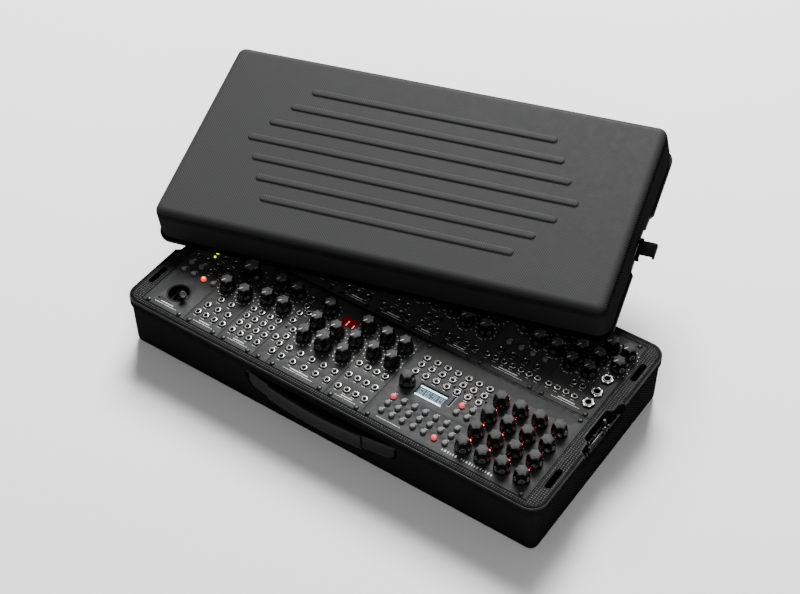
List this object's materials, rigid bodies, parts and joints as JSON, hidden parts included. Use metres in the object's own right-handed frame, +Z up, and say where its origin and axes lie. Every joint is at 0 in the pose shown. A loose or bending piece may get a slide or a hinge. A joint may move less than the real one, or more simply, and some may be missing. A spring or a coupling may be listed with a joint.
{
  "type": "modular synthesizer in a case",
  "caption": "Modular synthesizer: two rows of rack modules in a shallow black travel case with a moulded lift-off lid, side latches, a front carrying handle, a joystick and a step sequencer.",
  "frame": {"origin": "centre of the flat underside of the case", "axes": "+X to the right along the module rows, +Y to the rear, +Z up out of the panels"},
  "size_m": [0.6648, 0.5008, 0.2093],
  "materials": {
    "case_plastic": "black moulded plastic, fine grain",
    "frame_plastic": "dark grey moulded plastic with a waffle grain",
    "rail_metal": "black anodised extrusion",
    "bracket_metal": "folded sheet, grey paint",
    "panel_metal": "dark grey powder coat, satin",
    "board": "green circuit board with components",
    "screen": "backlit character display",
    "rubber_black": "black moulded rubber",
    "lid_plastic": "black moulded plastic, fine grain",
    "rim_plastic": "black moulded plastic",
    "foam": "charcoal foam liner",
    "steel": "plated steel",
    "knob_plastic": "gloss black plastic",
    "lit_button": "translucent plastic, lit red",
    "inlet_plastic": "black plastic",
    "stick_plastic": "grey plastic"
  },
  "bodies": {
    "case": {"base_shell": "case_plastic", "top_frame": "frame_plastic", "rail_front": "rail_metal", "rail_middle_front": "rail_metal", "rail_middle_rear": "rail_metal", "rail_rear": "rail_metal", "rail_bracket_left": "bracket_metal", "rail_bracket_right": "bracket_metal", "power_supply_board": "board", "power_inlet": "inlet_plastic", "joystick_module_panel": "panel_metal", "modulator_module_panel": "panel_metal", "mixer_module_panel": "panel_metal", "link_module_panel": "panel_metal", "voice_module_panel": "panel_metal", "filter_module_panel": "panel_metal", "sequencer_module_panel": "panel_metal", "rear_module_1_panel": "panel_metal", "rear_module_2_panel": "panel_metal", "rear_module_3_panel": "panel_metal", "rear_module_4_panel": "panel_metal", "rear_module_5_panel": "panel_metal", "rear_module_6_panel": "panel_metal", "output_module_panel": "panel_metal", "front_row_boards": "board", "rear_row_boards": "board", "sequencer_display": "screen", "latch_keeper_left": "steel", "latch_keeper_right": "steel", "joystick_housing": "inlet_plastic"},
    "lid": {"lid_shell": "lid_plastic", "lid_rim": "rim_plastic", "lid_foam": "foam"},
    "latch_clip_left": {"latch_clip_left": "rim_plastic"},
    "latch_clip_right": {"latch_clip_right": "rim_plastic"},
    "handle": {"handle_strap": "rubber_black", "handle_grip": "rubber_black"},
    "joystick_gimbal": {"joystick_gimbal": "steel"},
    "joystick_stick": {"joystick_stick": "stick_plastic"},
    "power_switch": {"power_switch": "inlet_plastic"},
    "sequencer_encoder_knob": {"sequencer_encoder_knob": "knob_plastic"},
    "sequencer_record_button": {"sequencer_record_button": "lit_button"},
    "sequencer_play_button": {"sequencer_play_button": "lit_button"},
    "joystick_mode_button": {"joystick_mode_button": "lit_button"},
    "sequencer_knob_01": {"sequencer_knob_01": "knob_plastic"},
    "sequencer_knob_02": {"sequencer_knob_02": "knob_plastic"},
    "sequencer_knob_03": {"sequencer_knob_03": "knob_plastic"},
    "sequencer_knob_04": {"sequencer_knob_04": "knob_plastic"},
    "sequencer_knob_05": {"sequencer_knob_05": "knob_plastic"},
    "sequencer_knob_06": {"sequencer_knob_06": "knob_plastic"},
    "sequencer_knob_07": {"sequencer_knob_07": "knob_plastic"},
    "sequencer_knob_08": {"sequencer_knob_08": "knob_plastic"},
    "sequencer_knob_09": {"sequencer_knob_09": "knob_plastic"},
    "sequencer_knob_10": {"sequencer_knob_10": "knob_plastic"},
    "sequencer_knob_11": {"sequencer_knob_11": "knob_plastic"},
    "sequencer_knob_12": {"sequencer_knob_12": "knob_plastic"},
    "sequencer_knob_13": {"sequencer_knob_13": "knob_plastic"},
    "sequencer_knob_14": {"sequencer_knob_14": "knob_plastic"},
    "sequencer_knob_15": {"sequencer_knob_15": "knob_plastic"},
    "sequencer_knob_16": {"sequencer_knob_16": "knob_plastic"}
  },
  "joints": [
    {"name": "lid_lift", "type": "slide", "parent": "case", "child": "lid", "axis": [0, 0, 1], "range_m": [0, 0.2]},
    {"name": "latch_clip_right_hinge", "type": "hinge", "parent": "lid", "child": "latch_clip_right", "pos_m": [0.204, 0.20967, 0.13611], "axis": [-0.2386, 0.9486, 0.2081], "range_deg": [-25, 88]},
    {"name": "latch_clip_left_hinge", "type": "hinge", "parent": "lid", "child": "latch_clip_left", "pos_m": [-0.34488, 0.07762, 0.1087], "axis": [0.2386, -0.9486, -0.2081], "range_deg": [-113, 0]},
    {"name": "handle_swing", "type": "hinge", "parent": "case", "child": "handle", "pos_m": [-0.0005, -0.1365, 0.0534], "axis": [-1, 0, 0], "range_deg": [0, 24]},
    {"name": "joystick_y_tilt", "type": "hinge", "parent": "case", "child": "joystick_gimbal", "pos_m": [-0.23346, -0.1008, 0.062], "axis": [1, 0, 0], "range_deg": [-40.7, 13.3]},
    {"name": "joystick_x_tilt", "type": "hinge", "parent": "joystick_gimbal", "child": "joystick_stick", "pos_m": [-0.23346, -0.1008, 0.062], "axis": [0, 0.9715, 0.2368], "range_deg": [-57.5, 0.5]},
    {"name": "power_rocker", "type": "hinge", "parent": "case", "child": "power_switch", "pos_m": [0.165, 0.1387, 0.03], "axis": [1, 0, 0], "range_deg": [-14, 0]},
    {"name": "sequencer_knob_01_turn", "type": "hinge", "parent": "case", "child": "sequencer_knob_01", "pos_m": [0.17224, -0.0334, 0.08], "axis": [0, 0, 1], "range_deg": [-150, 150]},
    {"name": "sequencer_knob_02_turn", "type": "hinge", "parent": "case", "child": "sequencer_knob_02", "pos_m": [0.19694, -0.0334, 0.08], "axis": [0, 0, 1], "range_deg": [-150, 150]},
    {"name": "sequencer_knob_03_turn", "type": "hinge", "parent": "case", "child": "sequencer_knob_03", "pos_m": [0.22164, -0.0334, 0.08], "axis": [0, 0, 1], "range_deg": [-150, 150]},
    {"name": "sequencer_knob_04_turn", "type": "hinge", "parent": "case", "child": "sequencer_knob_04", "pos_m": [0.24634, -0.0334, 0.08], "axis": [0, 0, 1], "range_deg": [-150, 150]},
    {"name": "sequencer_knob_05_turn", "type": "hinge", "parent": "case", "child": "sequencer_knob_05", "pos_m": [0.17224, -0.0591, 0.08], "axis": [0, 0, 1], "range_deg": [-150, 150]},
    {"name": "sequencer_knob_06_turn", "type": "hinge", "parent": "case", "child": "sequencer_knob_06", "pos_m": [0.19694, -0.0591, 0.08], "axis": [0, 0, 1], "range_deg": [-150, 150]},
    {"name": "sequencer_knob_07_turn", "type": "hinge", "parent": "case", "child": "sequencer_knob_07", "pos_m": [0.22164, -0.0591, 0.08], "axis": [0, 0, 1], "range_deg": [-150, 150]},
    {"name": "sequencer_knob_08_turn", "type": "hinge", "parent": "case", "child": "sequencer_knob_08", "pos_m": [0.24634, -0.0591, 0.08], "axis": [0, 0, 1], "range_deg": [-150, 150]},
    {"name": "sequencer_knob_09_turn", "type": "hinge", "parent": "case", "child": "sequencer_knob_09", "pos_m": [0.17224, -0.0848, 0.08], "axis": [0, 0, 1], "range_deg": [-150, 150]},
    {"name": "sequencer_knob_10_turn", "type": "hinge", "parent": "case", "child": "sequencer_knob_10", "pos_m": [0.19694, -0.0848, 0.08], "axis": [0, 0, 1], "range_deg": [-150, 150]},
    {"name": "sequencer_knob_11_turn", "type": "hinge", "parent": "case", "child": "sequencer_knob_11", "pos_m": [0.22164, -0.0848, 0.08], "axis": [0, 0, 1], "range_deg": [-150, 150]},
    {"name": "sequencer_knob_12_turn", "type": "hinge", "parent": "case", "child": "sequencer_knob_12", "pos_m": [0.24634, -0.0848, 0.08], "axis": [0, 0, 1], "range_deg": [-150, 150]},
    {"name": "sequencer_knob_13_turn", "type": "hinge", "parent": "case", "child": "sequencer_knob_13", "pos_m": [0.17224, -0.1105, 0.08], "axis": [0, 0, 1], "range_deg": [-150, 150]},
    {"name": "sequencer_knob_14_turn", "type": "hinge", "parent": "case", "child": "sequencer_knob_14", "pos_m": [0.19694, -0.1105, 0.08], "axis": [0, 0, 1], "range_deg": [-150, 150]},
    {"name": "sequencer_knob_15_turn", "type": "hinge", "parent": "case", "child": "sequencer_knob_15", "pos_m": [0.22164, -0.1105, 0.08], "axis": [0, 0, 1], "range_deg": [-150, 150]},
    {"name": "sequencer_knob_16_turn", "type": "hinge", "parent": "case", "child": "sequencer_knob_16", "pos_m": [0.24634, -0.1105, 0.08], "axis": [0, 0, 1], "range_deg": [-150, 150]},
    {"name": "sequencer_encoder_turn", "type": "hinge", "parent": "case", "child": "sequencer_encoder_knob", "pos_m": [0.06924, -0.0662, 0.08], "axis": [0, 0, 1], "continuous": true},
    {"name": "sequencer_record_button_press", "type": "slide", "parent": "case", "child": "sequencer_record_button", "axis": [0, 0, -1], "range_m": [0, 0.0008], "stiffness_N_per_m": 600, "springref_m": -0.001},
    {"name": "sequencer_play_button_press", "type": "slide", "parent": "case", "child": "sequencer_play_button", "axis": [0, 0, -1], "range_m": [0, 0.0008], "stiffness_N_per_m": 600, "springref_m": -0.001},
    {"name": "joystick_mode_button_press", "type": "slide", "parent": "case", "child": "joystick_mode_button", "axis": [0, 0, -1], "range_m": [0, 0.0008], "stiffness_N_per_m": 600, "springref_m": -0.001}
  ]
}
